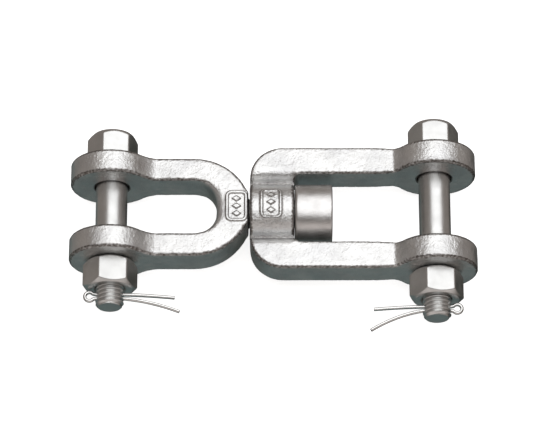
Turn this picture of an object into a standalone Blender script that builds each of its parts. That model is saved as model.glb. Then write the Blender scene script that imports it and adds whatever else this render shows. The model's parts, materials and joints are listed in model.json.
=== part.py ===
"""Jaw-and-jaw swivel: two cast stainless clevises that turn on one axis.

Each is closed by a hex bolt, its nut and a cotter pin.

Frame, in metres: +X along the swivel axis towards the body jaw, Y along both bolts (heads at +Y), +Z up.
The origin is on the swivel axis, in the flat end of the bow jaw's shank.
"""

import math

import bmesh
import bpy
from mathutils import Matrix, Vector

COLLECTION = "jaw_jaw_swivel"

# Stations along the swivel axis, counted from the shank's flat end.
SWIVEL_NUT_INNER_X = -0.0131
HUB_INNER_X = -0.0134
HUB_OUTER_X = -0.0293
CROWN_TIP_X = -0.0296
CROWN_INNER_X = -0.0409
BOW_PIN_X = -0.0783
BODY_PIN_X = 0.0364

# Both jaws: round ears, a concave flare that meets each arm at a crease, and rounded cast edges.
EAR_RADIUS = 0.0148
CAST_EDGE = 0.0011
BOLT_HOLE_RADIUS = 0.0061

# Bow jaw.
BOW_INNER_Y = 0.0101
BOW_OUTER_Y = 0.0189
BOW_HALF_DEPTH = 0.0069
BOW_FLARE_RADIUS = 0.0122
BOW_FLARE_CREASE = math.radians(18)
CROWN_INNER_RADIUS = 0.0085
CROWN_OUTER_RADIUS = 0.0205
CROWN_OUTER_CENTRE_X = -0.0490
CROWN_TIP_HALF_WIDTH = 0.0069
CROWN_TIP_TAPER = 0.0003
SADDLE_RADIUS = 0.0030
SHANK_RADIUS = 0.0050

# Body jaw.
BODY_INNER_Y = 0.0130
BODY_OUTER_Y = 0.0234
BODY_EAR_INNER_Y = 0.0136
BODY_EAR_OUTER_Y = 0.0229
BODY_EAR_STEP_LENGTH = 0.0060
BODY_HALF_DEPTH = 0.0064
BODY_FLARE_RADIUS = 0.0080
BODY_FLARE_CREASE = math.radians(27)
BODY_INNER_CORNER = 0.0022
BODY_OUTER_CORNER = 0.0117
HUB_RADIUS = 0.0104
HUB_SINK = 0.0001
# The fall from each arm's top to the hub's barrel, which runs out beside the throat.
VALLEY_SHOULDER_Y = 0.0150
VALLEY_SHOULDER_RADIUS = 0.0040
VALLEY_SLOPE = math.radians(65)
VALLEY_FLOOR = 0.0023
VALLEY_FULL_X = -0.0144
VALLEY_END_X = -0.0112
VALLEY_RUN_OUT = 0.0016
SHANK_BORE_RADIUS = 0.0053

# Swivel nut.
SWIVEL_NUT_RADIUS = 0.0104
SWIVEL_NUT_EDGE = 0.0008
SWIVEL_NUT_BORE_RADIUS = 0.0053

# Bolts, nuts and cotter pins, 10 mm thread.
SHANK_PIN_RADIUS = 0.0056
THREAD_RADIUS = 0.0050
HEAD_FLATS = 0.0160
HEAD_HEIGHT = 0.0110
HEAD_CHAMFER_RADIUS = 0.0071
NUT_FLATS = 0.0170
NUT_HEIGHT = 0.0102
NUT_BORE_RADIUS = 0.0053
NUT_CHAMFER_RADIUS = 0.0078
NUT_CHAMFER_SLOPE = 0.7
END_CHAMFER = 0.0010
SEAT_GAP = 0.0003
THREAD_PAST_EAR = 0.0015
BOW_BOLT_END_Y = -0.0360
BODY_BOLT_END_Y = -0.0402
BOW_COTTER_Y = -0.0319
BODY_COTTER_Y = -0.0365
BOW_HEAD_TURN = math.radians(10.6)
BODY_HEAD_TURN = math.radians(2.4)
BOW_NUT_TURN = math.radians(8.6)
BODY_NUT_TURN = math.radians(7.9)
COTTER_HOLE_RADIUS = 0.00165
COTTER_WIRE_RADIUS = 0.00065
COTTER_LEG_OFFSET = 0.0007
COTTER_EYE_RADIUS = 0.0016
COTTER_EYE_CENTRE = -0.0071
COTTER_LEG_CURVE = 0.4
COTTER_LEG_POINTS = 8
COTTER_HALF_STRAIGHT = 0.0045
COTTER_NECK = 0.0005
COTTER_EYE_OPENING = math.radians(35)
BOW_COTTER_DROPS = (0.0012, 0.0050)
BOW_COTTER_LENGTHS = (0.0228, 0.0245)
BODY_COTTER_DROPS = (0.0010, 0.0074)
BODY_COTTER_LENGTHS = (0.0221, 0.0232)

# Raised casting marks: a frame with three lozenges.
MARK_LENGTH = 0.0112
MARK_WIDTH = 0.0072
MARK_BORDER = 0.0006
MARK_RELIEF = 0.0004
MARK_DEPTH = 0.0035
MARK_CORNER = 0.0018
MARK_LOZENGE = 0.0013
MARK_PITCH = 0.0030
CROWN_MARK_X = -0.0339
HUB_MARK_X = -0.0217

ARC_STEP = math.radians(6)
SMALL_ARC_STEP = math.radians(15)
EDGE_ARC_STEP = math.radians(30)

# Facets round each kind of turned piece.
ROUND_FACETS = 48
RING_FACETS = 64
BARREL_FACETS = 72
BOLT_FACETS = 40
HOLE_FACETS = 24

# Working allowances for cutters and joined shapes, none of them a size of the object.
OVERRUN = 0.002
OVERLAP = 0.005
PAST_FACE = 0.001
SKIN = 0.00005
VALLEY_INNER_Y = 0.0090
SADDLE_INSET = 0.0001
HOLE_CUTTER_REACH = 0.030
CROSS_HOLE_REACH = 0.008


def clear_scene():
    for obj in list(bpy.data.objects):
        bpy.data.objects.remove(obj, do_unlink=True)


def make_collection(name):
    collection = bpy.data.collections.new(name)
    bpy.context.scene.collection.children.link(collection)
    return collection


def make_material(name, colour, roughness):
    material = bpy.data.materials.new(name)
    material.use_nodes = True
    shader = material.node_tree.nodes["Principled BSDF"]
    shader.inputs["Base Color"].default_value = (*colour, 1)
    shader.inputs["Roughness"].default_value = roughness
    shader.inputs["Metallic"].default_value = 1
    return material


def arc(centre, radius, start, end, step=ARC_STEP):
    """Points on a circle from one angle to another, both included, about one step apart."""
    steps = max(1, round(abs(end - start) / step))
    angles = [start + (end - start) * i / steps for i in range(steps + 1)]
    x, y = centre
    return [(x + radius * math.cos(a), y + radius * math.sin(a)) for a in angles]


def mirrored(half):
    """A closed outline from its half with the second coordinate above zero."""
    return half + [(x, -y) for x, y in reversed(half)]


def without_repeats(points):
    return [p for i, p in enumerate(points) if math.dist(p, points[i - 1]) > 1e-6]


def mesh_object(name, mesh, collection, material=None):
    obj = bpy.data.objects.new(name, mesh)
    collection.objects.link(obj)
    if material:
        mesh.materials.append(material)
    return obj


def as_mesh(curve, collection, material=None):
    """The curve object's solid as a mesh object in the same place, with its caps welded on."""
    bpy.context.view_layer.update()
    evaluated = curve.evaluated_get(bpy.context.evaluated_depsgraph_get())
    mesh = bpy.data.meshes.new_from_object(evaluated)
    bm = bmesh.new()
    bm.from_mesh(mesh)
    bmesh.ops.remove_doubles(bm, verts=bm.verts, dist=1e-7)
    bmesh.ops.recalc_face_normals(bm, faces=bm.faces)
    bm.to_mesh(mesh)
    bm.free()
    name, matrix = curve.name, curve.matrix_world.copy()
    bpy.data.objects.remove(curve, do_unlink=True)
    obj = mesh_object(name, mesh, collection, material)
    obj.matrix_world = matrix
    return obj


def prism(name, outline, half_thickness, collection, turn=None, material=None):
    """A flat closed outline given a thickness, as a mesh: in XY and thick along Z, unless turned."""
    data = bpy.data.curves.new(name, "CURVE")
    data.dimensions = "2D"
    data.fill_mode = "BOTH"
    data.extrude = half_thickness
    points = without_repeats(outline)
    spline = data.splines.new("POLY")
    spline.points.add(len(points) - 1)
    for point, (x, y) in zip(spline.points, points):
        point.co = (x, y, 0, 1)
    spline.use_cyclic_u = True
    curve = bpy.data.objects.new(name, data)
    collection.objects.link(curve)
    curve.matrix_world = turn or Matrix.Identity(4)
    return as_mesh(curve, collection, material)


def cylinder(name, radius, start, end, collection, segments=ROUND_FACETS):
    """A closed cylinder between two points."""
    start, end = Vector(start), Vector(end)
    mesh = bpy.data.meshes.new(name)
    bm = bmesh.new()
    bmesh.ops.create_cone(
        bm,
        cap_ends=True,
        segments=segments,
        radius1=radius,
        radius2=radius,
        depth=(end - start).length,
    )
    bm.to_mesh(mesh)
    bm.free()
    obj = mesh_object(name, mesh, collection)
    turn = (end - start).to_track_quat("Z", "Y").to_matrix().to_4x4()
    obj.matrix_world = Matrix.Translation((start + end) / 2) @ turn
    return obj


def turned(name, profile, collection, material=None, steps=ROUND_FACETS):
    """A solid turned about Z from a profile of (radius, height) points, listed from top to bottom."""
    mesh = bpy.data.meshes.new(name)
    mesh.from_pydata([(r, 0, z) for r, z in profile], [(i, i + 1) for i in range(len(profile) - 1)], [])
    obj = mesh_object(name, mesh, collection, material)
    screw = obj.modifiers.new("turn", "SCREW")
    screw.axis = "Z"
    screw.steps = steps
    screw.render_steps = steps
    screw.use_merge_vertices = True
    screw.merge_threshold = 1e-6
    return obj


def cutter(obj):
    obj.hide_render = True
    obj.display_type = "WIRE"
    return obj


def boolean(obj, other, operation):
    modifier = obj.modifiers.new(other.name, "BOOLEAN")
    modifier.operation = operation
    modifier.object = cutter(other)
    modifier.solver = "EXACT"


def bevel(obj, width, segments=3, angle=50):
    modifier = obj.modifiers.new("edges", "BEVEL")
    modifier.width = width
    modifier.segments = segments
    modifier.limit_method = "ANGLE"
    modifier.angle_limit = math.radians(angle)
    modifier.use_clamp_overlap = False


def shade(obj):
    obj.data.shade_smooth()
    obj.data.set_sharp_from_angle(angle=math.radians(35))


def side_outline(pin_x, inward, back_x, half_depth, flare_radius, crease):
    """A jaw seen along its bolt: the ear's disc, the two concave flares and the arm, back to back_x.

    inward is +1 where the jaw's body lies at +X of its bolt, and -1 where it lies at -X. The flare
    runs smoothly into the ear and meets the arm at the crease angle.
    """
    flare_z = half_depth + flare_radius * math.cos(crease)
    flare_u = math.sqrt((EAR_RADIUS + flare_radius) ** 2 - flare_z**2)
    angle = math.atan2(flare_z, flare_u)
    half = [(abs(back_x - pin_x), half_depth)]
    half += arc((flare_u, flare_z), flare_radius, -math.pi / 2 - crease, angle - math.pi)
    half += arc((0, 0), EAR_RADIUS, angle, math.pi)[:-1]
    ear_end = [(-EAR_RADIUS, 0)]
    lower = [(u, -z) for u, z in reversed(half)]
    return [(pin_x + inward * u, z) for u, z in half + ear_end + lower]


def bow_throat(open_end, inset=0):
    """Half of the bow's throat seen from above, from its open end to the crown, drawn in by inset."""
    corner = (CROWN_INNER_X - CROWN_INNER_RADIUS, BOW_INNER_Y - CROWN_INNER_RADIUS)
    end = [(open_end, BOW_INNER_Y - inset)]
    return end + arc(corner, CROWN_INNER_RADIUS - inset, math.pi / 2, 0)


def bow_plan():
    """The bow jaw seen from above: a U whose outer sides close on the hub in one arc."""
    open_end = BOW_PIN_X - EAR_RADIUS - OVERRUN
    inner = bow_throat(open_end)
    centre_y = BOW_OUTER_Y - CROWN_OUTER_RADIUS
    centre = (CROWN_OUTER_CENTRE_X, centre_y)
    tip_angle = math.asin((CROWN_TIP_HALF_WIDTH - centre_y) / CROWN_OUTER_RADIUS)
    outer = [(open_end, BOW_OUTER_Y)] + arc(centre, CROWN_OUTER_RADIUS, math.pi / 2, tip_angle)
    outer.append((CROWN_TIP_X, CROWN_TIP_HALF_WIDTH - CROWN_TIP_TAPER))
    return mirrored(outer) + [(x, y) for x, y in reversed(mirrored(inner))]


def body_plan():
    """The body jaw seen from above: a U with a square throat, round corners and thinner ears."""
    open_end = BODY_PIN_X + EAR_RADIUS + OVERRUN
    step_start = BODY_PIN_X - EAR_RADIUS - BODY_EAR_STEP_LENGTH
    step_end = BODY_PIN_X - EAR_RADIUS + BODY_EAR_STEP_LENGTH / 2
    corner = (HUB_INNER_X + BODY_INNER_CORNER, BODY_INNER_Y - BODY_INNER_CORNER)
    inner = [(open_end, BODY_EAR_INNER_Y), (step_end, BODY_EAR_INNER_Y), (step_start, BODY_INNER_Y)]
    inner += arc(corner, BODY_INNER_CORNER, math.pi / 2, math.pi)
    corner = (HUB_OUTER_X + HUB_SINK + BODY_OUTER_CORNER, BODY_OUTER_Y - BODY_OUTER_CORNER)
    outer = [(open_end, BODY_EAR_OUTER_Y), (step_end, BODY_EAR_OUTER_Y), (step_start, BODY_OUTER_Y)]
    outer += arc(corner, BODY_OUTER_CORNER, math.pi / 2, math.pi)
    return mirrored(outer) + [(x, y) for x, y in reversed(mirrored(inner))]


def valley_section():
    """What is cut from the hub's wall, seen along the swivel axis: one shoulder, its fall, and the other."""
    top = BODY_HALF_DEPTH + SKIN
    centre = (VALLEY_SHOULDER_Y, top - VALLEY_SHOULDER_RADIUS)
    half = [(VALLEY_SHOULDER_Y, top + OVERRUN)]
    half += arc(centre, VALLEY_SHOULDER_RADIUS, math.pi / 2, math.pi / 2 + VALLEY_SLOPE)
    y, z = half[-1]
    half.append((y - (z - VALLEY_FLOOR) / math.tan(VALLEY_SLOPE), VALLEY_FLOOR))
    half.append((VALLEY_INNER_Y, VALLEY_FLOOR))
    return half + [(-y, z) for y, z in reversed(half)]


def along_y():
    """Turns an XY outline into the XZ plane, so that its thickness runs along Y."""
    return Matrix.Rotation(math.radians(90), 4, "X")


def clevis(name, plan, side, material, parts, cutters):
    """A jaw's U: its plan cut to its side outline, with its cast edges rounded."""
    obj = prism(name, plan, EAR_RADIUS + OVERRUN, parts, material=material)
    cross = prism(name + "_side", side, BODY_OUTER_Y + OVERLAP, cutters, turn=along_y())
    boolean(obj, cross, "INTERSECT")
    bevel(obj, CAST_EDGE)
    return obj


def bolt_hole(name, pin_x, cutters):
    start, end = (pin_x, HOLE_CUTTER_REACH, 0), (pin_x, -HOLE_CUTTER_REACH, 0)
    return cylinder(name, BOLT_HOLE_RADIUS, start, end, cutters)


def rounded_rectangle(length_x, length_y, corner):
    x, y = length_x / 2 - corner, length_y / 2 - corner
    centres = ((x, y), (-x, y), (-x, -y), (x, -y))
    outline = []
    for i, centre in enumerate(centres):
        outline += arc(centre, corner, i * math.pi / 2, (i + 1) * math.pi / 2)
    return outline


def mark(name, x, top, cutters):
    """A casting mark's frame and lozenges, standing on the surface below top, to be joined to a jaw."""
    half_depth = MARK_DEPTH / 2
    place = Matrix.Translation((x, 0, top - half_depth))
    outline = rounded_rectangle(MARK_WIDTH, MARK_LENGTH, MARK_CORNER)
    frame = prism(name, outline, half_depth, cutters, turn=place)
    inner = (MARK_WIDTH - 2 * MARK_BORDER, MARK_LENGTH - 2 * MARK_BORDER)
    field = rounded_rectangle(*inner, MARK_CORNER - MARK_BORDER)
    boolean(frame, prism(name + "_field", field, MARK_DEPTH, cutters, turn=place), "DIFFERENCE")
    shapes = [frame]
    for i in (-1, 0, 1):
        y = i * MARK_PITCH
        start, end = (x, y, top - MARK_DEPTH), (x, y, top)
        lozenge = f"{name}_lozenge_{i + 2}"
        shapes.append(cylinder(lozenge, MARK_LOZENGE, start, end, cutters, segments=4))
    return shapes


def loft(name, rings, collection):
    """A closed solid through rings that have the same number of points."""
    bm = bmesh.new()
    loops = [[bm.verts.new(point) for point in ring] for ring in rings]
    for near, far in zip(loops, loops[1:]):
        for i in range(len(near)):
            bm.faces.new((near[i - 1], near[i], far[i], far[i - 1]))
    bm.faces.new(loops[0])
    bm.faces.new(loops[-1])
    bmesh.ops.recalc_face_normals(bm, faces=bm.faces)
    mesh = bpy.data.meshes.new(name)
    bm.to_mesh(mesh)
    bm.free()
    return mesh_object(name, mesh, collection)


def saddle(name, cutters):
    """A plug in the bow's throat that leans into the crown near both faces, to round the bearing edge.

    Each of its rings is the throat's outline slid towards the crown, so it opens the throat most at
    the crown and not at all along the arms.
    """
    outline = mirrored(bow_throat(CROWN_INNER_X - 2 * CROWN_INNER_RADIUS, SADDLE_INSET))
    flat = BOW_HALF_DEPTH - SADDLE_RADIUS
    rounding = arc((SADDLE_RADIUS, flat), SADDLE_RADIUS, math.pi, math.pi / 2, SMALL_ARC_STEP)
    half = rounding + [(SADDLE_RADIUS, BOW_HALF_DEPTH + PAST_FACE)]
    levels = [(slide, -z) for slide, z in reversed(half)] + half
    return loft(name, [[(x + slide, y, z) for x, y in outline] for slide, z in levels], cutters)


def valley(name, side, cutters):
    """The cut beside the barrel on top, where side is 1, or underneath, where it is -1."""
    stations = ((HUB_OUTER_X - OVERRUN, 0), (VALLEY_FULL_X, 0), (VALLEY_END_X, VALLEY_RUN_OUT))
    section = valley_section()
    rings = [[(x, y, side * (z + lift)) for y, z in section] for x, lift in stations]
    return loft(name, rings, cutters)


def make_bow_jaw(parts, cutters, material):
    flare = (BOW_FLARE_RADIUS, BOW_FLARE_CREASE)
    side = side_outline(BOW_PIN_X, 1, CROWN_TIP_X + OVERLAP, BOW_HALF_DEPTH, *flare)
    jaw = clevis("bow_jaw", bow_plan(), side, material, parts, cutters)
    root = (CROWN_TIP_X - OVERLAP, 0, 0)
    shank = cylinder("bow_shank", SHANK_RADIUS, root, (0, 0, 0), cutters)
    boolean(jaw, saddle("bow_saddle", cutters), "DIFFERENCE")
    boolean(jaw, shank, "UNION")
    boolean(jaw, bolt_hole("bow_bolt_hole", BOW_PIN_X, cutters), "DIFFERENCE")
    for shape in mark("crown_mark", CROWN_MARK_X, BOW_HALF_DEPTH + MARK_RELIEF, cutters):
        boolean(jaw, shape, "UNION")
    shade(jaw)
    return jaw


def make_body_jaw(parts, cutters, material):
    flare = (BODY_FLARE_RADIUS, BODY_FLARE_CREASE)
    side = side_outline(BODY_PIN_X, -1, HUB_OUTER_X - OVERLAP, BODY_HALF_DEPTH, *flare)
    jaw = clevis("body_jaw", body_plan(), side, material, parts, cutters)
    boolean(jaw, valley("valley_top", 1, cutters), "DIFFERENCE")
    boolean(jaw, valley("valley_bottom", -1, cutters), "DIFFERENCE")
    start, end = (HUB_OUTER_X, 0, 0), (HUB_INNER_X, 0, 0)
    barrel = cylinder("hub_barrel", HUB_RADIUS, start, end, cutters, BARREL_FACETS)
    bevel(barrel, CAST_EDGE)
    boolean(jaw, barrel, "UNION")
    start, end = (HUB_OUTER_X - OVERLAP, 0, 0), (HUB_INNER_X + OVERLAP, 0, 0)
    bore = cylinder("hub_bore", SHANK_BORE_RADIUS, start, end, cutters)
    boolean(jaw, bore, "DIFFERENCE")
    boolean(jaw, bolt_hole("body_bolt_hole", BODY_PIN_X, cutters), "DIFFERENCE")
    for shape in mark("hub_mark", HUB_MARK_X, HUB_RADIUS + 2 * MARK_RELIEF, cutters):
        start, end = (HUB_OUTER_X, 0, 0), (HUB_INNER_X, 0, 0)
        relief = HUB_RADIUS + MARK_RELIEF
        limit = cylinder(shape.name + "_limit", relief, start, end, cutters, BARREL_FACETS)
        boolean(shape, limit, "INTERSECT")
        boolean(jaw, shape, "UNION")
    shade(jaw)
    return jaw


def make_swivel_nut(parts, material):
    """The round nut on the shank, made about Z and laid along the swivel axis."""
    outer, bore, edge = SWIVEL_NUT_RADIUS, SWIVEL_NUT_BORE_RADIUS, SWIVEL_NUT_EDGE
    length = -SWIVEL_NUT_INNER_X
    profile = [(bore, length)]
    profile += arc((outer - edge, length - edge), edge, math.pi / 2, 0, EDGE_ARC_STEP)
    profile += arc((outer - edge, edge), edge, 0, -math.pi / 2, EDGE_ARC_STEP)
    profile += [(bore, 0), (bore, length)]
    nut = turned("swivel_nut", profile, parts, material, steps=RING_FACETS)
    place = Matrix.Translation((SWIVEL_NUT_INNER_X, 0, 0))
    nut.matrix_world = place @ Matrix.Rotation(math.pi / 2, 4, "Y")
    shade(nut)
    return nut


def bolt_axis(name, pin_x, parts):
    """An empty on a bolt's axis: its local Z runs to the head, along +Y, and its local X along +X."""
    empty = bpy.data.objects.new(name, None)
    empty.empty_display_size = EAR_RADIUS
    empty.matrix_world = Matrix.Translation((pin_x, 0, 0)) @ Matrix.Rotation(-math.pi / 2, 4, "X")
    parts.objects.link(empty)
    return empty


def hex_blank(name, flats, bottom, top, turn, collection, material=None):
    """A hexagonal prism about Z. One flat faces the object's top, turned by turn towards +X."""
    radius = flats / math.sqrt(3)
    mesh = bpy.data.meshes.new(name)
    bm = bmesh.new()
    depth = top - bottom
    bmesh.ops.create_cone(bm, cap_ends=True, segments=6, radius1=radius, radius2=radius, depth=depth)
    flat_up = Matrix.Rotation(math.radians(30) + turn, 3, "Z")
    bmesh.ops.rotate(bm, verts=bm.verts, matrix=flat_up)
    bmesh.ops.translate(bm, verts=bm.verts, vec=(0, 0, (top + bottom) / 2))
    bm.to_mesh(mesh)
    bm.free()
    return mesh_object(name, mesh, collection, material)


def make_bolt(name, axis, seat, end, cotter, turn, parts, cutters, material):
    """A hex bolt: chamfered head above seat, plain shank, thread past the near ear and a cross hole."""
    thread_start = -seat + SEAT_GAP + THREAD_PAST_EAR
    profile = [(0, seat + HEAD_HEIGHT / 2), (SHANK_PIN_RADIUS, seat + HEAD_HEIGHT / 2)]
    taper = SHANK_PIN_RADIUS - THREAD_RADIUS
    profile += [(SHANK_PIN_RADIUS, thread_start + taper), (THREAD_RADIUS, thread_start)]
    profile += [(THREAD_RADIUS, end + END_CHAMFER), (THREAD_RADIUS - END_CHAMFER, end), (0, end)]
    bolt = turned(name, profile, parts, material, steps=BOLT_FACETS)
    head = hex_blank(name + "_head", HEAD_FLATS, seat, seat + HEAD_HEIGHT, turn, cutters)
    top = seat + HEAD_HEIGHT - SKIN
    wide = HEAD_FLATS / math.sqrt(3) + PAST_FACE
    dome = [(0, top), (HEAD_CHAMFER_RADIUS, top), (wide, top - (wide - HEAD_CHAMFER_RADIUS))]
    dome += [(wide, seat - PAST_FACE), (0, seat - PAST_FACE)]
    boolean(head, turned(name + "_dome", dome, cutters), "INTERSECT")
    boolean(bolt, head, "UNION")
    start, stop = (-CROSS_HOLE_REACH, 0, cotter), (CROSS_HOLE_REACH, 0, cotter)
    hole = cylinder(name + "_hole", COTTER_HOLE_RADIUS, start, stop, cutters, HOLE_FACETS)
    boolean(bolt, hole, "DIFFERENCE")
    for obj in (bolt, head, bpy.data.objects[name + "_dome"], hole):
        obj.parent = axis
    shade(bolt)
    return bolt


def make_nut(name, axis, seat, turn, parts, cutters, material):
    """A hex nut, chamfered at both ends, with its top at seat."""
    bottom = seat - NUT_HEIGHT
    nut = hex_blank(name, NUT_FLATS, bottom, seat, turn, parts, material)
    wide = NUT_FLATS / math.sqrt(3) + PAST_FACE
    drop = (wide - NUT_CHAMFER_RADIUS) * NUT_CHAMFER_SLOPE
    top = seat - SKIN
    profile = [(0, top), (NUT_CHAMFER_RADIUS, top), (wide, top - drop)]
    profile += [(r, bottom + seat - z) for r, z in reversed(profile)]
    blank = turned(name + "_chamfers", profile, cutters)
    start, end = (0, 0, seat + PAST_FACE), (0, 0, bottom - PAST_FACE)
    bore = cylinder(name + "_bore", NUT_BORE_RADIUS, start, end, cutters, BOLT_FACETS)
    boolean(nut, blank, "INTERSECT")
    boolean(nut, bore, "DIFFERENCE")
    for obj in (nut, blank, bore):
        obj.parent = axis
    shade(nut)
    return nut


def cotter_leg(start_z, drop, length):
    """Points of one splayed leg, from its place in the hole to its tip."""
    half = COTTER_HALF_STRAIGHT
    points = [(-half, start_z), (half, start_z)]
    for i in range(1, COTTER_LEG_POINTS + 1):
        t = i / COTTER_LEG_POINTS
        sag = (1 - COTTER_LEG_CURVE) * t * t + COTTER_LEG_CURVE * t
        points.append((half + (length - half) * t, start_z - drop * sag))
    return points


def make_cotter(name, axis, z, side, drops, lengths, parts, material):
    """A cotter pin across the bolt, its legs towards side times +X and spread along the bolt."""
    opening = COTTER_EYE_OPENING
    eye = arc((COTTER_EYE_CENTRE, 0), COTTER_EYE_RADIUS, opening, 2 * math.pi - opening)
    neck = COTTER_EYE_CENTRE + COTTER_EYE_RADIUS + COTTER_NECK
    upper = cotter_leg(COTTER_LEG_OFFSET, drops[0], lengths[0])
    lower = cotter_leg(-COTTER_LEG_OFFSET, drops[1], lengths[1])
    necks = (neck, COTTER_LEG_OFFSET), (neck, -COTTER_LEG_OFFSET)
    route = list(reversed(upper)) + [necks[0]] + eye + [necks[1]] + lower
    data = bpy.data.curves.new(name, "CURVE")
    data.dimensions = "3D"
    data.bevel_depth = COTTER_WIRE_RADIUS
    data.bevel_resolution = 2
    data.use_fill_caps = True
    spline = data.splines.new("POLY")
    spline.points.add(len(route) - 1)
    for point, (x, up) in zip(spline.points, route):
        point.co = (side * x, 0, z + up, 1)
    data.materials.append(material)
    cotter = bpy.data.objects.new(name, data)
    cotter.parent = axis
    parts.objects.link(cotter)
    return cotter


def main():
    clear_scene()
    parts = make_collection(COLLECTION)
    cutters = make_collection("cutters")
    cast = make_material("cast_stainless", (0.66, 0.65, 0.63), 0.42)
    machined = make_material("machined_stainless", (0.70, 0.69, 0.67), 0.28)
    wire = make_material("stainless_wire", (0.74, 0.74, 0.73), 0.22)
    make_bow_jaw(parts, cutters, cast)
    make_body_jaw(parts, cutters, cast)
    make_swivel_nut(parts, machined)

    axis = bolt_axis("bow_bolt_axis", BOW_PIN_X, parts)
    seat = BOW_OUTER_Y + SEAT_GAP
    stations = (seat, BOW_BOLT_END_Y, BOW_COTTER_Y)
    make_bolt("bow_bolt", axis, *stations, BOW_HEAD_TURN, parts, cutters, machined)
    make_nut("bow_nut", axis, -seat, BOW_NUT_TURN, parts, cutters, machined)
    shape = (BOW_COTTER_Y, 1, BOW_COTTER_DROPS, BOW_COTTER_LENGTHS)
    make_cotter("bow_cotter_pin", axis, *shape, parts, wire)

    axis = bolt_axis("body_bolt_axis", BODY_PIN_X, parts)
    seat = BODY_EAR_OUTER_Y + SEAT_GAP
    stations = (seat, BODY_BOLT_END_Y, BODY_COTTER_Y)
    make_bolt("body_bolt", axis, *stations, BODY_HEAD_TURN, parts, cutters, machined)
    make_nut("body_nut", axis, -seat, BODY_NUT_TURN, parts, cutters, machined)
    shape = (BODY_COTTER_Y, -1, BODY_COTTER_DROPS, BODY_COTTER_LENGTHS)
    make_cotter("body_cotter_pin", axis, *shape, parts, wire)


main()
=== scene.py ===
"""Looks for the jaw and jaw swivel: detailed castings, bolts, nuts and cotter pins in stainless steel.

Lengths are in metres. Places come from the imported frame; the sizes below are the details it doesn't hold.
"""

import json
import math

import bmesh
import bpy
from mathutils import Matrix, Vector, noise
from mathutils.bvhtree import BVHTree

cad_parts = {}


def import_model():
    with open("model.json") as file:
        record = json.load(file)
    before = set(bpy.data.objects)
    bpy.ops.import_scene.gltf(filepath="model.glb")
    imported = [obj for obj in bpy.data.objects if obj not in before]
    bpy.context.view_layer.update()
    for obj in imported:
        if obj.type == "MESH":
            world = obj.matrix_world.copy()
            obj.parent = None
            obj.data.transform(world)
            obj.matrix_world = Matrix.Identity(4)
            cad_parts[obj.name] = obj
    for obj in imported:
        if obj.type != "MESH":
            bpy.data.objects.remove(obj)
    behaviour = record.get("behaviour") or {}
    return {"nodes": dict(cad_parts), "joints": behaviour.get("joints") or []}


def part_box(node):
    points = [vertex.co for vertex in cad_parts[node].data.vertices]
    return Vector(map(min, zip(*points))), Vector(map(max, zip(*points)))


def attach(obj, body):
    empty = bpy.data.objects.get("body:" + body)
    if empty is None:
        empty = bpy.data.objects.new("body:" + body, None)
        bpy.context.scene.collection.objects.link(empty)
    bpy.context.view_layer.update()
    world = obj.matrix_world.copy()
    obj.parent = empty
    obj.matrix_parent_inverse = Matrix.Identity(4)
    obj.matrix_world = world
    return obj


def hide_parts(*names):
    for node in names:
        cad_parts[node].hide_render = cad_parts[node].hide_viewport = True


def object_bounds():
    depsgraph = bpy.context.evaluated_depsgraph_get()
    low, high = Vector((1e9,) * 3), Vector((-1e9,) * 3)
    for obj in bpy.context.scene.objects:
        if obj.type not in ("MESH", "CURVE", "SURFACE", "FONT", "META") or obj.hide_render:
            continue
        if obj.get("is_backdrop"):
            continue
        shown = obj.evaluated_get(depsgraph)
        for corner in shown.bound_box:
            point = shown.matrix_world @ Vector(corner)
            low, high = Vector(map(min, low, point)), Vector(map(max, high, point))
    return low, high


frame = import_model()
CAD_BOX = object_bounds()
MM = 0.001

JOINT_AT = {joint["name"]: Vector(joint["pos_m"]) for joint in frame["joints"]}
PIN_X = {"bow": JOINT_AT["bow_bolt_turn"].x, "body": JOINT_AT["body_bolt_turn"].x}
SWIVEL = JOINT_AT["swivel"]

# Castings.
CAST_VOXEL = 0.33 * MM
CAST_SMOOTHING = 3
SMOOTHING_FACTOR = 0.5
WELD_DISTANCE = 0.001 * MM
CAST_SHARP_ANGLE = 60
# Each swell of the cast surface: its wavelength and how far it rises and falls.
CAST_SWELLS = ((7.0 * MM, 0.050 * MM), (1.9 * MM, 0.040 * MM), (0.8 * MM, 0.050 * MM))
CAST_SINK = 0.080 * MM
EAR_RADIUS = 14.8 * MM
EAR_MARGIN = 0.03 * MM
EAR_SKIN = 0.06 * MM
EAR_EDGE = 0.16 * MM
# How far round towards the arms an ear's rim is a true circle, as a cosine.
RIM_FADE = (0.60, 0.70)
# The band smoothed where that circle ends: its half width, its span as a cosine, and how often.
BLEND_BAND = 0.6 * MM
BLEND_SPAN = (0.52, 0.78)
BLEND_PASSES = 6
BOLT_HOLE_RADIUS = 6.1 * MM
SHANK_RADIUS = 5.0 * MM
MACHINED_MARGIN = 0.5 * MM
MACHINED_START = 0.1 * MACHINED_MARGIN
BEYOND_SURFACE = 40 * MM

# Casting marks: a raised frame round three lozenges.
CROWN_MARK_X = -33.9 * MM
HUB_MARK_X = -21.7 * MM
MARK_TOP_SIDE = 4 * MM
MARK_HALF_WIDTH = 3.35 * MM
MARK_HALF_LENGTH = 5.4 * MM
MARK_CORNER = 1.6 * MM
MARK_STROKE = 0.34 * MM
MARK_SOFTNESS = 0.36 * MM
MARK_RELIEF = 0.46 * MM
MARK_CLEARANCE = 0.75 * MM
MARK_FADE_START = 0.6 * MARK_CLEARANCE
MARK_REACH_DOWN = 1.0 * MM
LOZENGE_PITCH = 2.9 * MM
LOZENGE_HALF_WIDTH = 1.30 * MM
LOZENGE_HALF_LENGTH = 0.90 * MM
LOZENGE_SIDE_SLOPE = 0.8

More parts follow.
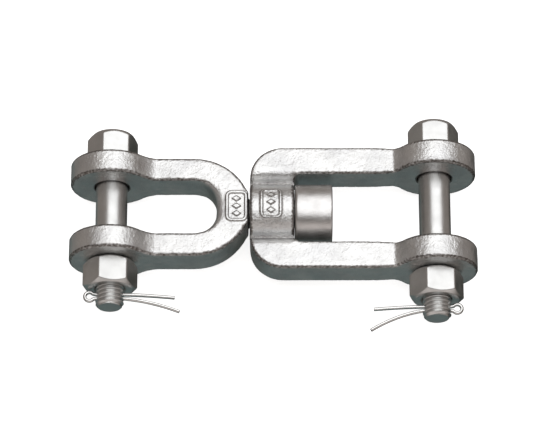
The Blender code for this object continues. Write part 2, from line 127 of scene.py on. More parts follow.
# Bolts.
PIN_RADIUS = 5.6 * MM
THREAD_RADIUS = 5.0 * MM
THREAD_PITCH = 1.5 * MM
THREAD_DEPTH = 0.85 * MM
THREAD_FLANK = (0.08, 0.92)
THREAD_STEP = 0.11 * MM
THREAD_RUNOUT = 1.5 * MM
THREAD_LEAD = 0.6 * MM
THREAD_ABOVE_NUT = 1.0 * MM
END_CHAMFER = 1.0 * MM
END_SOFTNESS = 0.15 * MM
HEAD_CHAMFER_RADIUS = 7.1 * MM
HEAD_SOFTNESS = 0.5 * MM
HEAD_TOP_SHARE = 0.45
HEAD_TOP_INSET = 0.35 * MM
# The depths below the head's top where its fine rings end and its coarse ones start.
HEAD_FINE_DEPTH = 3 * MM
HEAD_COARSE_DEPTH = 3.4 * MM
HEAD_COARSE_STEP = 0.8 * MM
SEAT_LIFT = 0.2 * MM
SEAT_EDGE = 0.15 * MM
SEAT_FILLET = 0.2 * MM
SEAT_CLEARANCE = 1 * MM
PIN_STEP = 2 * MM
PIN_END = 0.9 * MM
CROSS_HOLE_RADIUS = 1.62 * MM
CROSS_HOLE_HALF_LENGTH = 8 * MM
CROSS_HOLE_STEPS = 32

# Nuts.
NUT_CHAMFER_RADIUS = 7.8 * MM
NUT_CHAMFER_SLOPE = 0.7
NUT_MOUTH_RADIUS = 5.75 * MM
NUT_BORE_RADIUS = 5.12 * MM
CORNER_ROUNDING = 0.14 * MM
NUT_SOFTNESS = 0.35 * MM
NUT_FACE_INSET = 0.25 * MM
NUT_GROOVE = 0.4 * MM
# The depths below a nut's faces where its fine rings end and its coarse ones start.
NUT_FINE_DEPTH = 1.6 * MM
NUT_COARSE_DEPTH = 2.2 * MM
NUT_COARSE_STEP = 1.2 * MM
NUT_BORE_STEP = 0.15 * MM

# Swivel nut.
RING_EDGE = 0.7 * MM
RING_HUB_EDGE = 1.1 * MM
RING_BORE_RADIUS = 5.25 * MM
RING_COUNTERSINK = 0.5 * MM
RING_FACE_LIFT = 0.2 * MM
RING_ARC_STEP = math.radians(11)
RING_SIDE_STEP = 0.6 * MM
# How far the straight side stays off each rounded edge, in that edge's radius.
RING_SIDE_CLEARANCE = 1.4

# Cotter pins.
WIRE_THICKNESS = 1.3 * MM
WIRE_HALF_WIDTH = 0.8 * MM
WIRE_FLAT = 0.75
LEG_OFFSET = 0.7 * MM
EYE_RADIUS = 1.6 * MM
EYE_CENTRE = -7.1 * MM
EYE_OPENING = math.radians(35)
EYE_STEP = math.radians(15)
LEG_CURVE = 0.4
LEG_STEPS = 14
CORNER_CUT = 0.25
STRAIGHT_HALF = 4.5 * MM
WIRE_SHARP_ANGLE = 45
# For the two legs of each pin: how far they drop, and how long they are.
BOW_LEGS = ((1.2 * MM, 5.0 * MM), (22.8 * MM, 24.5 * MM))
BODY_LEGS = ((1.0 * MM, 7.38 * MM), (22.1 * MM, 23.2 * MM))

# Painted shade on the castings, dark ragged lines along the edges and in the creases, by how sharply the
# surface turns: 0 is flat, more is an edge, less is a crease.
TURN_NAME = "turn"
TURN_BLURS = 2
EDGE_TURN = (0.030, 0.058)
CREASE_TURN = (-0.115, -0.045)
EDGE_SHADE = 0.98
CREASE_SHADE = 0.80
SHADE_BREAKS = (0.55, 1.0)
PAINTED_SHADE_COLOUR = (0.10, 0.085, 0.075)

# Steels: two tones, the range of roughness, and the size of patches, the size of the grain and its depth.
CAST_STEEL = (((0.63, 0.63, 0.63), (0.75, 0.75, 0.74)), (0.32, 0.44), 9 * MM, 0.60 * MM, 0.200 * MM)
TURNED_STEEL = (((0.58, 0.58, 0.57), (0.66, 0.66, 0.65)), (0.28, 0.38), 6 * MM, 0.25 * MM, 0.004 * MM)
COLLAR_STEEL = (((0.60, 0.59, 0.58), (0.70, 0.69, 0.68)), (0.30, 0.40), 5 * MM, 0.40 * MM, 0.060 * MM)
WIRE_STEEL = (((0.70, 0.70, 0.69), (0.76, 0.76, 0.75)), (0.16, 0.26), 4 * MM, 0.20 * MM, 0.004 * MM)
TONE_SPAN = (0.35, 0.65)
BUMP_STRENGTH = 0.8
# Sizes of the finer patterns, as a share of the patches or the grain.
BLOTCH_SHARE = 0.6
COARSE_GRAIN_SHARE = 3.2
RAGGED_SHARE = 1.5

# Stage and camera.
CAMERA_ELEVATION = math.radians(65.5)
CAMERA_DISTANCE = 1.147
CAMERA_AIM = Vector((-1.9, -1.3, -0.6)) * MM
CAMERA_LENS = 218.4
CAMERA_SENSOR = 36
CAMERA_CLIP = (0.05, 20)
FLOOR_HALF = 6.0
FLOOR_TONE = 0.82
FLOOR_ROUGHNESS = 0.9
FLOOR_GLOW = 0.8
WORLD_COLOUR = (0.26, 0.23, 0.21)
WORLD_STRENGTH = 1.0
SOFTBOX_PLACE = (0.13, 0.21, 1.19)
SOFTBOX_SIZE = (1.55, 1.85)
SOFTBOX_POWER = 13.8
SOFTBOX_COLOUR = (0.96, 0.98, 1.0)
# Each panel's name, centre, turn, size, colour and strength.
PANELS = (
    ("front_card", (0, -1.2, 0.1), (math.pi / 2, 0, 0), (3.0, 1.1), (0.80, 0.74, 0.71), 0.9),
    ("camera_side", (0, -0.9, 0.95), (math.radians(45), 0, 0), (2.4, 0.40), (0.05, 0.045, 0.04), 1.0),
    ("dark_table", (0, 0, -0.4), (0, 0, 0), (1.4, 0.9), (0.13, 0.17, 0.17), 1.0),
    ("dark_right", (0.42, -0.25, -0.37), (0, 0, 0), (0.4, 0.3), (0.02, 0.02, 0.02), 1.0),
    # The next panel is painted shade: a dark sheet beneath the swivel standing in for its shadow on the
    # table, seen only in reflections.
    ("painted_shadow_under", (0.15, 0.16, -0.36), (0, 0, 0), (0.9, 0.46), (0.035, 0.04, 0.035), 1.0),
)

# Mesh fineness of the turned pieces.
FINE_INSET = 0.06 * MM
FINE_STEP = 0.12 * MM
TURNED_SHARP_ANGLE = 40
ALL_SMOOTH = 180
HEX_SECTOR = math.radians(60)
HEX_EASE = 0.12
ROUND_STEPS = 96
WIRE_STEPS = 20
HEX_SECTOR_STEPS = 20


def smooth_min(a, b, softness):
    blend = max(softness - abs(a - b), 0) / softness
    return min(a, b) - blend * blend * softness / 4


def smooth_step(low, high, value):
    t = min(max((value - low) / (high - low), 0), 1)
    return t * t * (3 - 2 * t)


def add_object(name, mesh, material, body, node):
    """Links a finished mesh that stands for a CAD node."""
    obj = bpy.data.objects.new(name, mesh)
    bpy.context.scene.collection.objects.link(obj)
    mesh.materials.clear()
    mesh.materials.append(material)
    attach(obj, body)
    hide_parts(node)


def finish_mesh(mesh, sharp_angle):
    bm = bmesh.new()
    bm.from_mesh(mesh)
    bmesh.ops.recalc_face_normals(bm, faces=bm.faces)
    bm.to_mesh(mesh)
    bm.free()
    mesh.shade_smooth()
    mesh.set_sharp_from_angle(angle=math.radians(sharp_angle))
    return mesh


def applied(mesh, add_modifiers):
    """The mesh as it looks once add_modifiers has given a holder of it some modifiers."""
    holder = bpy.data.objects.new("holder", mesh)
    bpy.context.scene.collection.objects.link(holder)
    add_modifiers(holder)
    evaluated = holder.evaluated_get(bpy.context.evaluated_depsgraph_get())
    made = bpy.data.meshes.new_from_object(evaluated)
    bpy.data.objects.remove(holder, do_unlink=True)
    return made


# Castings


def welded(node):
    """A CAD node's mesh with the corners that its file splits joined up again."""
    mesh = frame["nodes"][node].data.copy()
    bm = bmesh.new()
    bm.from_mesh(mesh)
    bmesh.ops.remove_doubles(bm, verts=bm.verts, dist=WELD_DISTANCE)
    bm.to_mesh(mesh)
    bm.free()
    return mesh


def add_remesh(holder):
    remesh = holder.modifiers.new("remesh", "REMESH")
    remesh.mode = "VOXEL"
    remesh.voxel_size = CAST_VOXEL
    smooth = holder.modifiers.new("smooth", "SMOOTH")
    smooth.factor = SMOOTHING_FACTOR
    smooth.iterations = CAST_SMOOTHING


def cast_swell(point):
    """How far the cast surface stands proud at a point."""
    rise = -CAST_SINK
    for wavelength, height in CAST_SWELLS:
        rise += height * noise.noise(point / wavelength)
    return rise


def roughness_share(point, pin_x):
    """1 on a cast surface, falling to 0 in the drilled bolt holes and on the swivel's shank."""
    hole = math.hypot(point.x - pin_x, point.z) - BOLT_HOLE_RADIUS
    shank = math.hypot(point.y, point.z) - SHANK_RADIUS
    return smooth_step(MACHINED_START, MACHINED_MARGIN, min(hole, shank))


def true_rim(point, pin_x, inward):
    """The point moved from the ear's faceted rim onto its true circle."""
    across, up = point.x - pin_x, point.z
    reach = math.hypot(across, up)
    if not EAR_RADIUS - EAR_EDGE < reach < EAR_RADIUS + EAR_MARGIN:
        return point.copy()
    share = smooth_step(EAR_RADIUS - EAR_EDGE, EAR_RADIUS - EAR_SKIN, reach)
    share *= 1 - smooth_step(*RIM_FADE, inward * across / reach)
    scale = 1 + share * ((EAR_RADIUS - EAR_MARGIN) / reach - 1)
    return Vector((pin_x + across * scale, point.y, up * scale))


def even_out(mesh, pin_x, inward):
    """Smooths the band where the ears' true circle runs out into the arms."""
    bm = bmesh.new()
    bm.from_mesh(mesh)
    chosen = []
    for vertex in bm.verts:
        across, up = vertex.co.x - pin_x, vertex.co.z
        reach = math.hypot(across, up)
        in_span = BLEND_SPAN[0] < inward * across / reach < BLEND_SPAN[1]
        if abs(reach - EAR_RADIUS) < BLEND_BAND and in_span:
            chosen.append(vertex)
    for _ in range(BLEND_PASSES):
        bmesh.ops.smooth_vert(
            bm, verts=chosen, factor=SMOOTHING_FACTOR, use_axis_x=True, use_axis_y=True, use_axis_z=True)
    bm.to_mesh(mesh)
    bm.free()


def mark_height(u, v):
    """The height of the casting mark, from 0 to 1, at u across it and v along it."""
    raised = mark_edge(MARK_STROKE, abs(frame_distance(u, v)))
    for i in (-1, 0, 1):
        reach = abs(u) / LOZENGE_HALF_WIDTH + abs(v - i * LOZENGE_PITCH) / LOZENGE_HALF_LENGTH - 1
        raised = max(raised, mark_edge(0, reach * LOZENGE_HALF_LENGTH * LOZENGE_SIDE_SLOPE))
    return raised


def mark_edge(half_stroke, distance):
    return 1 - smooth_step(half_stroke, half_stroke + MARK_SOFTNESS, distance)


def frame_distance(u, v):
    """The distance from the line of the mark's frame, below zero inside it."""
    across = abs(u) - MARK_HALF_WIDTH + MARK_CORNER
    along = abs(v) - MARK_HALF_LENGTH + MARK_CORNER
    return math.hypot(max(across, 0), max(along, 0)) + min(max(across, along), 0) - MARK_CORNER


def in_mark(u, v):
    """1 well inside the mark's field, falling to 0 at its outer edge."""
    reach = max(abs(u) - MARK_HALF_WIDTH, abs(v) - MARK_HALF_LENGTH)
    return 1 - smooth_step(MARK_FADE_START, MARK_CLEARANCE, reach)


def refine(mesh, inside):
    """Halves the size of the faces whose corners all satisfy inside."""
    bm = bmesh.new()
    bm.from_mesh(mesh)
    chosen = [f for f in bm.faces if all(inside(v.co) for v in f.verts)]
    edges = list({edge for face in chosen for edge in face.edges})
    bmesh.ops.subdivide_edges(bm, edges=edges, cuts=1, use_grid_fill=True)
    bmesh.ops.triangulate(bm, faces=[f for f in bm.faces if len(f.verts) > 4])
    bm.to_mesh(mesh)
    bm.free()


def top_height(tree, x):
    """How far above the swivel axis the surface lies."""
    return tree.ray_cast(Vector((x, 0, BEYOND_SURFACE)), Vector((0, 0, -1)))[0].z


def emboss_flat(mesh, mark_x, level):
    """Gives a flat top at height level its casting mark."""
    for vertex in mesh.vertices:
        point = vertex.co
        u, v = point.x - mark_x, point.y
        share = in_mark(u, v)
        if share > 0 and point.z > level - MARK_REACH_DOWN:
            target = level + MARK_RELIEF * mark_height(u, v) + cast_swell(point)
            vertex.co.z += share * (target - point.z)


def emboss_round(mesh, mark_x, radius):
    """Gives the top of a barrel about the swivel axis its casting mark."""
    for vertex in mesh.vertices:
        point = vertex.co
        reach = math.hypot(point.y, point.z)
        u, v = point.x - mark_x, radius * math.atan2(point.y, point.z)
        share = in_mark(u, v)
        if share > 0 and reach > radius - MARK_REACH_DOWN:
            target = radius + MARK_RELIEF * mark_height(u, v) + cast_swell(point)
            scale = 1 + share * (target / reach - 1)
            vertex.co.y *= scale
            vertex.co.z *= scale


def store_turns(mesh):
    """Keeps with each vertex how sharply the surface turns there, for the material."""
    bm = bmesh.new()
    bm.from_mesh(mesh)
    neighbours = [[edge.other_vert(vertex).index for edge in vertex.link_edges] for vertex in bm.verts]
    turns = []
    for vertex in bm.verts:
        leans = [(vertex.co - edge.other_vert(vertex).co).normalized().dot(vertex.normal)
                 for edge in vertex.link_edges]
        turns.append(sum(leans) / len(leans))
    for _ in range(TURN_BLURS):
        turns = [(turn + sum(turns[j] for j in near)) / (1 + len(near))
                 for turn, near in zip(turns, neighbours)]
    bm.free()
    layer = mesh.attributes.new(TURN_NAME, "FLOAT", "POINT")
    layer.data.foreach_set("value", turns)


def casting(node, pin_x, mark_x, round_mark, material):
    """A jaw with its cast surface, true ears and casting mark, which lies flat or round its barrel."""
    source = welded(node)
    tree_mesh = bmesh.new()
    tree_mesh.from_mesh(source)
    tree = BVHTree.FromBMesh(tree_mesh)
    tree_mesh.free()
    half_width = MARK_HALF_WIDTH + MARK_CLEARANCE
    half_length = MARK_HALF_LENGTH + MARK_CLEARANCE
    base = top_height(tree, mark_x - half_width)
    mesh = applied(source, add_remesh)

    def in_field(point):
        inside = abs(point.x - mark_x) < half_width and abs(point.y) < half_length
        return inside and point.z > MARK_TOP_SIDE

    refine(mesh, in_field)
    inward = math.copysign(1, mark_x - pin_x)
    for vertex in mesh.vertices:
        vertex.co = true_rim(vertex.co, pin_x, inward)
    even_out(mesh, pin_x, inward)
    moved = []
    for vertex in mesh.vertices:
        share = roughness_share(vertex.co, pin_x)
        moved.append(vertex.co + share * cast_swell(vertex.co) * vertex.normal)
    for vertex, place in zip(mesh.vertices, moved):
        vertex.co = place
    if round_mark:
        emboss_round(mesh, mark_x, base)
    else:
        emboss_flat(mesh, mark_x, base)
    store_turns(mesh)
    finish_mesh(mesh, CAST_SHARP_ANGLE)
    add_object(node + "_casting", mesh, material, node, node)


# Turned and hexagonal pieces


def about_bolt(pin_x):
    """Places a point at a distance along a bolt, a radius and an angle about it."""
    return lambda along, radius, angle: (
        pin_x + radius * math.cos(angle),
        along,
        radius * math.sin(angle),
    )


def about_swivel(along, radius, angle):
    return (along, radius * math.cos(angle), radius * math.sin(angle))


def turned(name, stations, angles, place, closed):
    """A mesh through rings at the stations: distances along the axis, each with a radius or a rule for it.

    A closed one joins its last ring to its first, and an open one has a flat cap at each end.
    """
    points = []
    for along, radius in stations:
        for angle in angles:
            points.append(place(along, radius(angle, along) if callable(radius) else radius, angle))
    count, turns = len(stations), len(angles)
    faces = []
    for s in range(count if closed else count - 1):
        for a in range(turns):
            b = (a + 1) % turns
            after = (s + 1) % count
            faces.append((s * turns + a, s * turns + b, after * turns + b, after * turns + a))
    if not closed:
        for s in (0, count - 1):
            centre = len(points)
            points.append(place(stations[s][0], 0, 0))
            faces += [(centre, s * turns + a, s * turns + (a + 1) % turns) for a in range(turns)]
    mesh = bpy.data.meshes.new(name)
    mesh.from_pydata(points, [], faces)
    return mesh


def round_angles(count):
    return [2 * math.pi * i / count for i in range(count)]


def hex_angles(corner):
    """Angles round a hexagon, closer together at its corners."""
    angles = []
    for sector in range(6):
        for i in range(HEX_SECTOR_STEPS):
            t = i / HEX_SECTOR_STEPS
            eased = t - HEX_EASE * math.sin(2 * math.pi * t)
            angles.append(corner + HEX_SECTOR * (sector + eased))
    return angles


def hex_of(node, low_y, high_y, pin_x):
    """The hexagon of a CAD node between two heights: the angle of a corner and the corner's radius."""
    reach, angle = 0, 0
    for vertex in frame["nodes"][node].data.vertices:
        x, y, z = vertex.co
        if low_y <= y <= high_y and math.hypot(x - pin_x, z) > reach:
            reach, angle = math.hypot(x - pin_x, z), math.atan2(z, x - pin_x)
    return angle, reach


def hex_radius(angle, corner, corner_radius):
    """The distance to the side of a hexagon with slightly rounded corners."""
    from_flat = (angle - corner) % HEX_SECTOR - HEX_SECTOR / 2
    apothem = corner_radius * math.cos(HEX_SECTOR / 2)
    return smooth_min(apothem / math.cos(from_flat), corner_radius - CORNER_ROUNDING, CORNER_ROUNDING)


def spaced(start, end, step):
    """Values from start to end, both included, about one step apart."""
    count = max(1, round(abs(end - start) / step))
    return [start + (end - start) * i / count for i in range(count + 1)]


def thread_wave(angle, along):
    """The share of the thread's depth below its crest, for a right-hand thread along +Y."""
    phase = (along / THREAD_PITCH + angle / (2 * math.pi)) % 1
    return smooth_step(*THREAD_FLANK, 1 - abs(2 * phase - 1))


def bolt(prefix, body, material):
    node = prefix + "_bolt"
    pin_x = PIN_X[prefix]
    low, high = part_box(node)
    nut_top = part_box(prefix + "_nut")[1].y
    head_top = high.y
    seat = -nut_top - SEAT_LIFT
    thread_start = nut_top + THREAD_ABOVE_NUT
    corner, corner_radius = hex_of(node, seat + SEAT_CLEARANCE, head_top, pin_x)

    def head(angle, along):
        cone = HEAD_CHAMFER_RADIUS + (head_top - along)
        return smooth_min(hex_radius(angle, corner, corner_radius), cone, HEAD_SOFTNESS)

    def thread(angle, along):
        grown = smooth_step(0, THREAD_RUNOUT, thread_start - along)
        root = THREAD_RADIUS - THREAD_DEPTH * grown * thread_wave(angle, along)
        return smooth_min(root, THREAD_RADIUS - END_CHAMFER + (along - low.y), END_SOFTNESS)

    stations = [(head_top, HEAD_TOP_SHARE * HEAD_CHAMFER_RADIUS)]
    stations += [(head_top, HEAD_CHAMFER_RADIUS - HEAD_TOP_INSET)]
    stations += [(y, head) for y in spaced(head_top - FINE_INSET, head_top - HEAD_FINE_DEPTH, FINE_STEP)]
    stations += [(y, head) for y in spaced(head_top - HEAD_COARSE_DEPTH, seat + SEAT_EDGE, HEAD_COARSE_STEP)]
    stations += [(seat, lambda angle, along: head(angle, along) - SEAT_EDGE)]
    stations += [(seat, PIN_RADIUS + SEAT_FILLET), (seat - SEAT_FILLET, PIN_RADIUS)]
    stations += [(y, PIN_RADIUS) for y in spaced(seat - SEAT_CLEARANCE, thread_start + PIN_END, PIN_STEP)]
    stations += [(thread_start + THREAD_LEAD, PIN_RADIUS)]
    stations += [(y, thread) for y in spaced(thread_start, low.y, THREAD_STEP)]
    mesh = turned(node, stations, hex_angles(corner), about_bolt(pin_x), False)
    mesh = finish_mesh(mesh, ALL_SMOOTH)
    cotter_y = cotter_place(prefix)
    mesh = applied(mesh, lambda holder: add_cross_hole(holder, pin_x, cotter_y))
    bpy.data.objects.remove(bpy.data.objects["cross_hole"], do_unlink=True)
    add_object(node + "_turned", finish_mesh(mesh, TURNED_SHARP_ANGLE), material, body, node)


def add_cross_hole(holder, pin_x, cotter_y):
    """Cuts the cotter's hole through a bolt's end, along X."""

    def place(along, radius, angle):
        return (pin_x + along, cotter_y + radius * math.cos(angle), radius * math.sin(angle))

    stations = [(end, CROSS_HOLE_RADIUS) for end in (-CROSS_HOLE_HALF_LENGTH, CROSS_HOLE_HALF_LENGTH)]
    cutter = turned("cross_hole", stations, round_angles(CROSS_HOLE_STEPS), place, False)
    finish_mesh(cutter, ALL_SMOOTH)
    tool = bpy.data.objects.new("cross_hole", cutter)
    bpy.context.scene.collection.objects.link(tool)
    tool.hide_render = True
    cut = holder.modifiers.new("cross hole", "BOOLEAN")
    cut.operation = "DIFFERENCE"
    cut.object = tool
    cut.solver = "EXACT"


def nut(prefix, body, material):
    node = prefix + "_nut"
    pin_x = PIN_X[prefix]
    low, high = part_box(node)
    top = high.y + SEAT_LIFT
    bottom = low.y
    corner, corner_radius = hex_of(node, low.y, high.y, pin_x)

    def outside(angle, along):
        depth = min(top - along, along - bottom)
        cone = NUT_CHAMFER_RADIUS + depth / NUT_CHAMFER_SLOPE
        return smooth_min(hex_radius(angle, corner, corner_radius), cone, NUT_SOFTNESS)

    def bore(angle, along):
        depth = min(top - along, along - bottom)
        mouth = NUT_MOUTH_RADIUS - depth
        grooves = NUT_BORE_RADIUS + NUT_GROOVE * thread_wave(angle, along)
        return max(mouth, grooves)

    face = (NUT_MOUTH_RADIUS + FINE_INSET, NUT_CHAMFER_RADIUS - NUT_FACE_INSET)
    heights = spaced(top - FINE_INSET, top - NUT_FINE_DEPTH, FINE_STEP)
    heights += spaced(top - NUT_COARSE_DEPTH, bottom + NUT_COARSE_DEPTH, NUT_COARSE_STEP)
    heights += spaced(bottom + NUT_FINE_DEPTH, bottom + FINE_INSET, FINE_STEP)
    stations = [(top, face[0]), (top, face[1])]
    stations += [(y, outside) for y in heights]
    stations += [(bottom, face[1]), (bottom, face[0])]
    stations += [(y, bore) for y in spaced(bottom + FINE_INSET, top - FINE_INSET, NUT_BORE_STEP)]
    mesh = turned(node, stations, hex_angles(corner), about_bolt(pin_x), True)
    add_object(node + "_turned", finish_mesh(mesh, TURNED_SHARP_ANGLE), material, body, node)


def swivel_nut(material):
    low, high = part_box("swivel_nut")
    low = low - Vector((RING_FACE_LIFT, 0, 0))
    radius = high.z
    bore = RING_BORE_RADIUS
    side_start = high.x - RING_SIDE_CLEARANCE * RING_EDGE
    side_end = low.x + RING_SIDE_CLEARANCE * RING_HUB_EDGE
    stations = []
    for angle in spaced(0, math.pi / 2, RING_ARC_STEP):
        inset, drop = RING_EDGE * (1 - math.cos(angle)), RING_EDGE * (1 - math.sin(angle))
        stations.append((high.x - inset, radius - drop))
    stations += [(x, radius) for x in spaced(side_start, side_end, RING_SIDE_STEP)]
    for angle in spaced(math.pi / 2, 0, RING_ARC_STEP):
        inset, drop = RING_HUB_EDGE * (1 - math.cos(angle)), RING_HUB_EDGE * (1 - math.sin(angle))
        stations.append((low.x + inset, radius - drop))
    stations += [(low.x, bore + RING_COUNTERSINK), (low.x + RING_COUNTERSINK, bore)]
    stations += [(high.x - RING_COUNTERSINK, bore), (high.x, bore + RING_COUNTERSINK)]
    mesh = turned("swivel_nut", stations, round_angles(ROUND_STEPS), about_swivel, True)
    mesh = finish_mesh(mesh, TURNED_SHARP_ANGLE)
    add_object("swivel_nut_turned", mesh, material, "bow_jaw", "swivel_nut")


# Cotter pins


def cotter_place(prefix):
    """The height of a cotter pin's hole along its bolt, measured down from the top of its eye."""
    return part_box(prefix + "_cotter_pin")[1].y - EYE_RADIUS - WIRE_THICKNESS / 2


def leg(height, drop, length):
    """A splayed leg, from its place in the hole to its tip, as (along, up) points."""
    points = [(-STRAIGHT_HALF, height), (0, height), (STRAIGHT_HALF, height)]
    for i in range(1, LEG_STEPS + 1):
        t = i / LEG_STEPS
        sag = (1 - LEG_CURVE) * t * t + LEG_CURVE * t
        points.append((STRAIGHT_HALF + (length - STRAIGHT_HALF) * t, height - drop * sag))
    return points


def cut_corners(points):
    """The same route with each corner cut, its two ends kept."""
    made = [points[0]]
    for a, b in zip(points, points[1:]):
        made.append(a.lerp(b, CORNER_CUT))
        made.append(a.lerp(b, 1 - CORNER_CUT))
    return made + [points[-1]]


def cotter(prefix, body, side, legs, material):
    """A split pin of wire flattened on its inner side, its legs towards side times +X."""
    node = prefix + "_cotter_pin"
    pin_x, height = PIN_X[prefix], cotter_place(prefix)
    drops, lengths = legs
    upper = leg(LEG_OFFSET, drops[0], lengths[0])
    lower = leg(-LEG_OFFSET, drops[1], lengths[1])
    eye = []
    for angle in spaced(EYE_OPENING, 2 * math.pi - EYE_OPENING, EYE_STEP):
        eye.append((EYE_CENTRE + EYE_RADIUS * math.cos(angle), EYE_RADIUS * math.sin(angle)))
    route = [Vector(p) for p in list(reversed(upper)) + eye + lower]
    route = cut_corners(cut_corners(route))
    section = []
    for angle in round_angles(WIRE_STEPS):
        across = WIRE_THICKNESS / 2 * max(math.cos(angle), -WIRE_FLAT)
        section.append((across, WIRE_HALF_WIDTH * math.sin(angle)))
    points = []
    for i, place in enumerate(route):
        ahead = route[min(i + 1, len(route) - 1)] - route[max(i - 1, 0)]
        out = Vector((ahead.y, -ahead.x)).normalized()
        for across, z in section:
            along, up = place + across * out
            points.append((pin_x + side * along, height + up, z))
    count = len(section)
    faces = []
    for i in range(len(route) - 1):
        for j in range(count):
            k = (j + 1) % count
            faces.append((i * count + j, i * count + k, (i + 1) * count + k, (i + 1) * count + j))
    faces.append(tuple(range(count)))
    faces.append(tuple(range((len(route) - 1) * count, len(route) * count)))
    mesh = bpy.data.meshes.new(node)
    mesh.from_pydata(points, [], faces)
    add_object(node + "_wire", finish_mesh(mesh, WIRE_SHARP_ANGLE), material, body, node)


# Materials


def new_material(name):
    material = bpy.data.materials.new(name)
    material.use_nodes = True
    nodes, links = material.node_tree.nodes, material.node_tree.links
    shader = nodes["Principled BSDF"]
    shader.inputs["Metallic"].default_value = 1
    place = nodes.new("ShaderNodeTexCoord").outputs["Object"]
    return material, nodes, links, shader, place


def add_noise(nodes, links, place, wavelength, detail):
    texture = nodes.new("ShaderNodeTexNoise")
    texture.inputs["Scale"].default_value = 1 / wavelength
    texture.inputs["Detail"].default_value = detail
    links.new(place, texture.inputs["Vector"])
    return texture.outputs["Fac"]


def add_ramp(nodes, links, source, low, high):
    ramp = nodes.new("ShaderNodeValToRGB")
    for element, position, colour in zip(ramp.color_ramp.elements, TONE_SPAN, (low, high)):
        element.position = position
        element.color = (*colour, 1)
    links.new(source, ramp.inputs["Fac"])
    return ramp.outputs["Color"]


def add_range(nodes, links, source, low, high, start=0.3, end=0.7):
    scale = nodes.new("ShaderNodeMapRange")
    for name, value in (("From Min", start), ("From Max", end), ("To Min", low), ("To Max", high)):
        scale.inputs[name].default_value = value
    links.new(source, scale.inputs["Value"])
    return scale.outputs["Result"]


def add_bump(nodes, links, source, depth, under=None):
    bump = nodes.new("ShaderNodeBump")
    bump.inputs["Distance"].default_value = depth
    bump.inputs["Strength"].default_value = BUMP_STRENGTH
    links.new(source, bump.inputs["Height"])
    if under:
        links.new(under, bump.inputs["Normal"])
    return bump.outputs["Normal"]


def add_painted_shade_share(nodes, links, place, grain):
    """How much painted shade is laid on: ragged dark lines along the edges and in the creases."""
    attribute = nodes.new("ShaderNodeAttribute")
    attribute.attribute_name = TURN_NAME
    turn = attribute.outputs["Fac"]
    edge = add_range(nodes, links, turn, 0, EDGE_SHADE, *EDGE_TURN)
    crease = add_range(nodes, links, turn, CREASE_SHADE, 0, *CREASE_TURN)
    ragged = add_noise(nodes, links, place, grain, 3)
    breaks = add_range(nodes, links, ragged, *SHADE_BREAKS)
    return add_math(nodes, links, "MULTIPLY", add_math(nodes, links, "MAXIMUM", edge, crease), breaks)


def add_math(nodes, links, operation, first, second):
    node = nodes.new("ShaderNodeMath")
    node.operation = operation
    links.new(first, node.inputs[0])
    links.new(second, node.inputs[1])
    return node.outputs[0]


def steel(name, tones, roughness, patch, grain, grain_depth, scale=False):
    """Stainless steel: patchy tone and roughness, and a fine grain over a coarser one; with scale set,
    painted shade along the edges and in the creases.
    """
    material, nodes, links, shader, place = new_material(name)
    patches = add_noise(nodes, links, place, patch, 4)
    tone = add_ramp(nodes, links, patches, *tones)
    blotches = add_noise(nodes, links, place, patch * BLOTCH_SHARE, 5)
    sheen = add_range(nodes, links, blotches, *roughness)
    # scale lays on painted shade: dark ragged lines along the edges and in the creases.
    if scale:
        share = add_painted_shade_share(nodes, links, place, RAGGED_SHARE * grain)
        mix = nodes.new("ShaderNodeMixRGB")
        mix.inputs["Color2"].default_value = (*PAINTED_SHADE_COLOUR, 1)
        links.new(share, mix.inputs["Fac"])
        links.new(tone, mix.inputs["Color1"])
        tone = mix.outputs["Color"]
    links.new(tone, shader.inputs["Base Color"])
    links.new(sheen, shader.inputs["Roughness"])
    fine = add_noise(nodes, links, place, grain, 4)
    coarse = add_noise(nodes, links, place, grain * COARSE_GRAIN_SHARE, 2)
    under = add_bump(nodes, links, coarse, grain_depth)
    links.new(add_bump(nodes, links, fine, grain_depth, under), shader.inputs["Normal"])
    return material


# Stage, light and camera


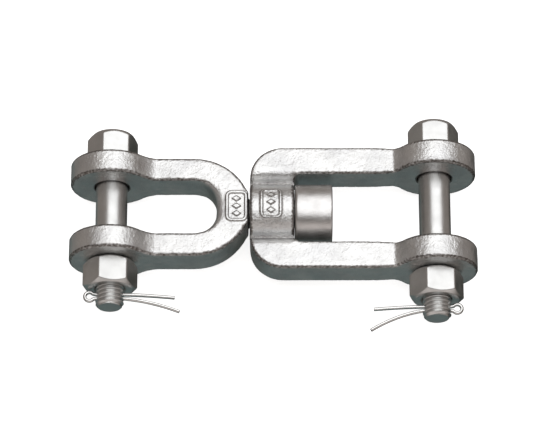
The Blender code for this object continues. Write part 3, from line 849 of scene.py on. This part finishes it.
def panel(name, centre, turn, size, colour, strength):
    """A glowing panel that only reflections see."""
    half_x, half_y = size[0] / 2, size[1] / 2
    mesh = bpy.data.meshes.new(name)
    corners = [(-half_x, -half_y, 0), (half_x, -half_y, 0), (half_x, half_y, 0), (-half_x, half_y, 0)]
    mesh.from_pydata(corners, [], [(0, 1, 2, 3)])
    material = bpy.data.materials.new(name)
    material.use_nodes = True
    nodes, links = material.node_tree.nodes, material.node_tree.links
    nodes.clear()
    glow = nodes.new("ShaderNodeEmission")
    glow.inputs["Color"].default_value = (*colour, 1)
    glow.inputs["Strength"].default_value = strength
    output = nodes.new("ShaderNodeOutputMaterial")
    links.new(glow.outputs["Emission"], output.inputs["Surface"])
    mesh.materials.append(material)
    obj = bpy.data.objects.new(name, mesh)
    bpy.context.scene.collection.objects.link(obj)
    obj.location = centre
    obj.rotation_euler = turn
    obj.visible_camera = False
    obj.visible_diffuse = False
    obj.visible_shadow = False
    obj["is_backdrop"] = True


def floor(level):
    """The pale floor that the camera sees."""
    mesh = bpy.data.meshes.new("floor")
    corners = [(-1, -1), (1, -1), (1, 1), (-1, 1)]
    mesh.from_pydata([(FLOOR_HALF * x, FLOOR_HALF * y, level) for x, y in corners], [], [(0, 1, 2, 3)])
    material = bpy.data.materials.new("pale_floor")
    material.use_nodes = True
    shader = material.node_tree.nodes["Principled BSDF"]
    shader.inputs["Base Color"].default_value = (FLOOR_TONE, FLOOR_TONE, FLOOR_TONE, 1)
    shader.inputs["Roughness"].default_value = FLOOR_ROUGHNESS
    shader.inputs["Emission Color"].default_value = (1, 1, 1, 1)
    shader.inputs["Emission Strength"].default_value = FLOOR_GLOW
    mesh.materials.append(material)
    obj = bpy.data.objects.new("floor", mesh)
    bpy.context.scene.collection.objects.link(obj)
    obj.visible_glossy = False
    obj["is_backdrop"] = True


def softbox():
    """The lamp overhead, turned to the origin."""
    light = bpy.data.lights.new("softbox", "AREA")
    light.shape = "RECTANGLE"
    light.size, light.size_y = SOFTBOX_SIZE
    light.energy = SOFTBOX_POWER
    light.color = SOFTBOX_COLOUR
    obj = bpy.data.objects.new("softbox", light)
    bpy.context.scene.collection.objects.link(obj)
    obj.location = SOFTBOX_PLACE
    obj.rotation_euler = (-Vector(SOFTBOX_PLACE)).to_track_quat("-Z", "Y").to_euler()


def world():
    made = bpy.data.worlds.new("studio")
    made.use_nodes = True
    background = made.node_tree.nodes["Background"]
    background.inputs["Color"].default_value = (*WORLD_COLOUR, 1)
    background.inputs["Strength"].default_value = WORLD_STRENGTH
    bpy.context.scene.world = made


def camera():
    """Looks down on the swivel from the bolts' threaded ends, from far enough off to flatten the view."""
    back = Vector((0, -math.cos(CAMERA_ELEVATION), math.sin(CAMERA_ELEVATION)))
    data = bpy.data.cameras.new("camera")
    data.lens = CAMERA_LENS
    data.sensor_width = CAMERA_SENSOR
    data.clip_start, data.clip_end = CAMERA_CLIP
    obj = bpy.data.objects.new("camera", data)
    bpy.context.scene.collection.objects.link(obj)
    obj.location = SWIVEL + CAMERA_AIM + CAMERA_DISTANCE * back
    obj.rotation_euler = (-back).to_track_quat("-Z", "Y").to_euler()
    bpy.context.scene.camera = obj


def main():
    camera()
    bpy.context.scene.view_settings.view_transform = "Standard"

    # The cast steel carries painted shade along its edges and in its creases.
    cast = steel("cast_stainless", *CAST_STEEL, scale=True)
    machined = steel("turned_stainless", *TURNED_STEEL)
    collar = steel("satin_stainless", *COLLAR_STEEL)
    wire = steel("wire_stainless", *WIRE_STEEL)

    casting("bow_jaw", PIN_X["bow"], CROWN_MARK_X, False, cast)
    casting("body_jaw", PIN_X["body"], HUB_MARK_X, True, cast)
    swivel_nut(collar)
    for prefix in ("bow", "body"):
        body = prefix + "_bolt"
        bolt(prefix, body, machined)
        nut(prefix, body, machined)
    cotter("bow", "bow_bolt", 1, BOW_LEGS, wire)
    cotter("body", "body_bolt", -1, BODY_LEGS, wire)

    floor(CAD_BOX[0].z)
    world()
    softbox()
    for row in PANELS:
        panel(*row)


main()
[[list(corner) for corner in box] for box in (CAD_BOX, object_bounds())]
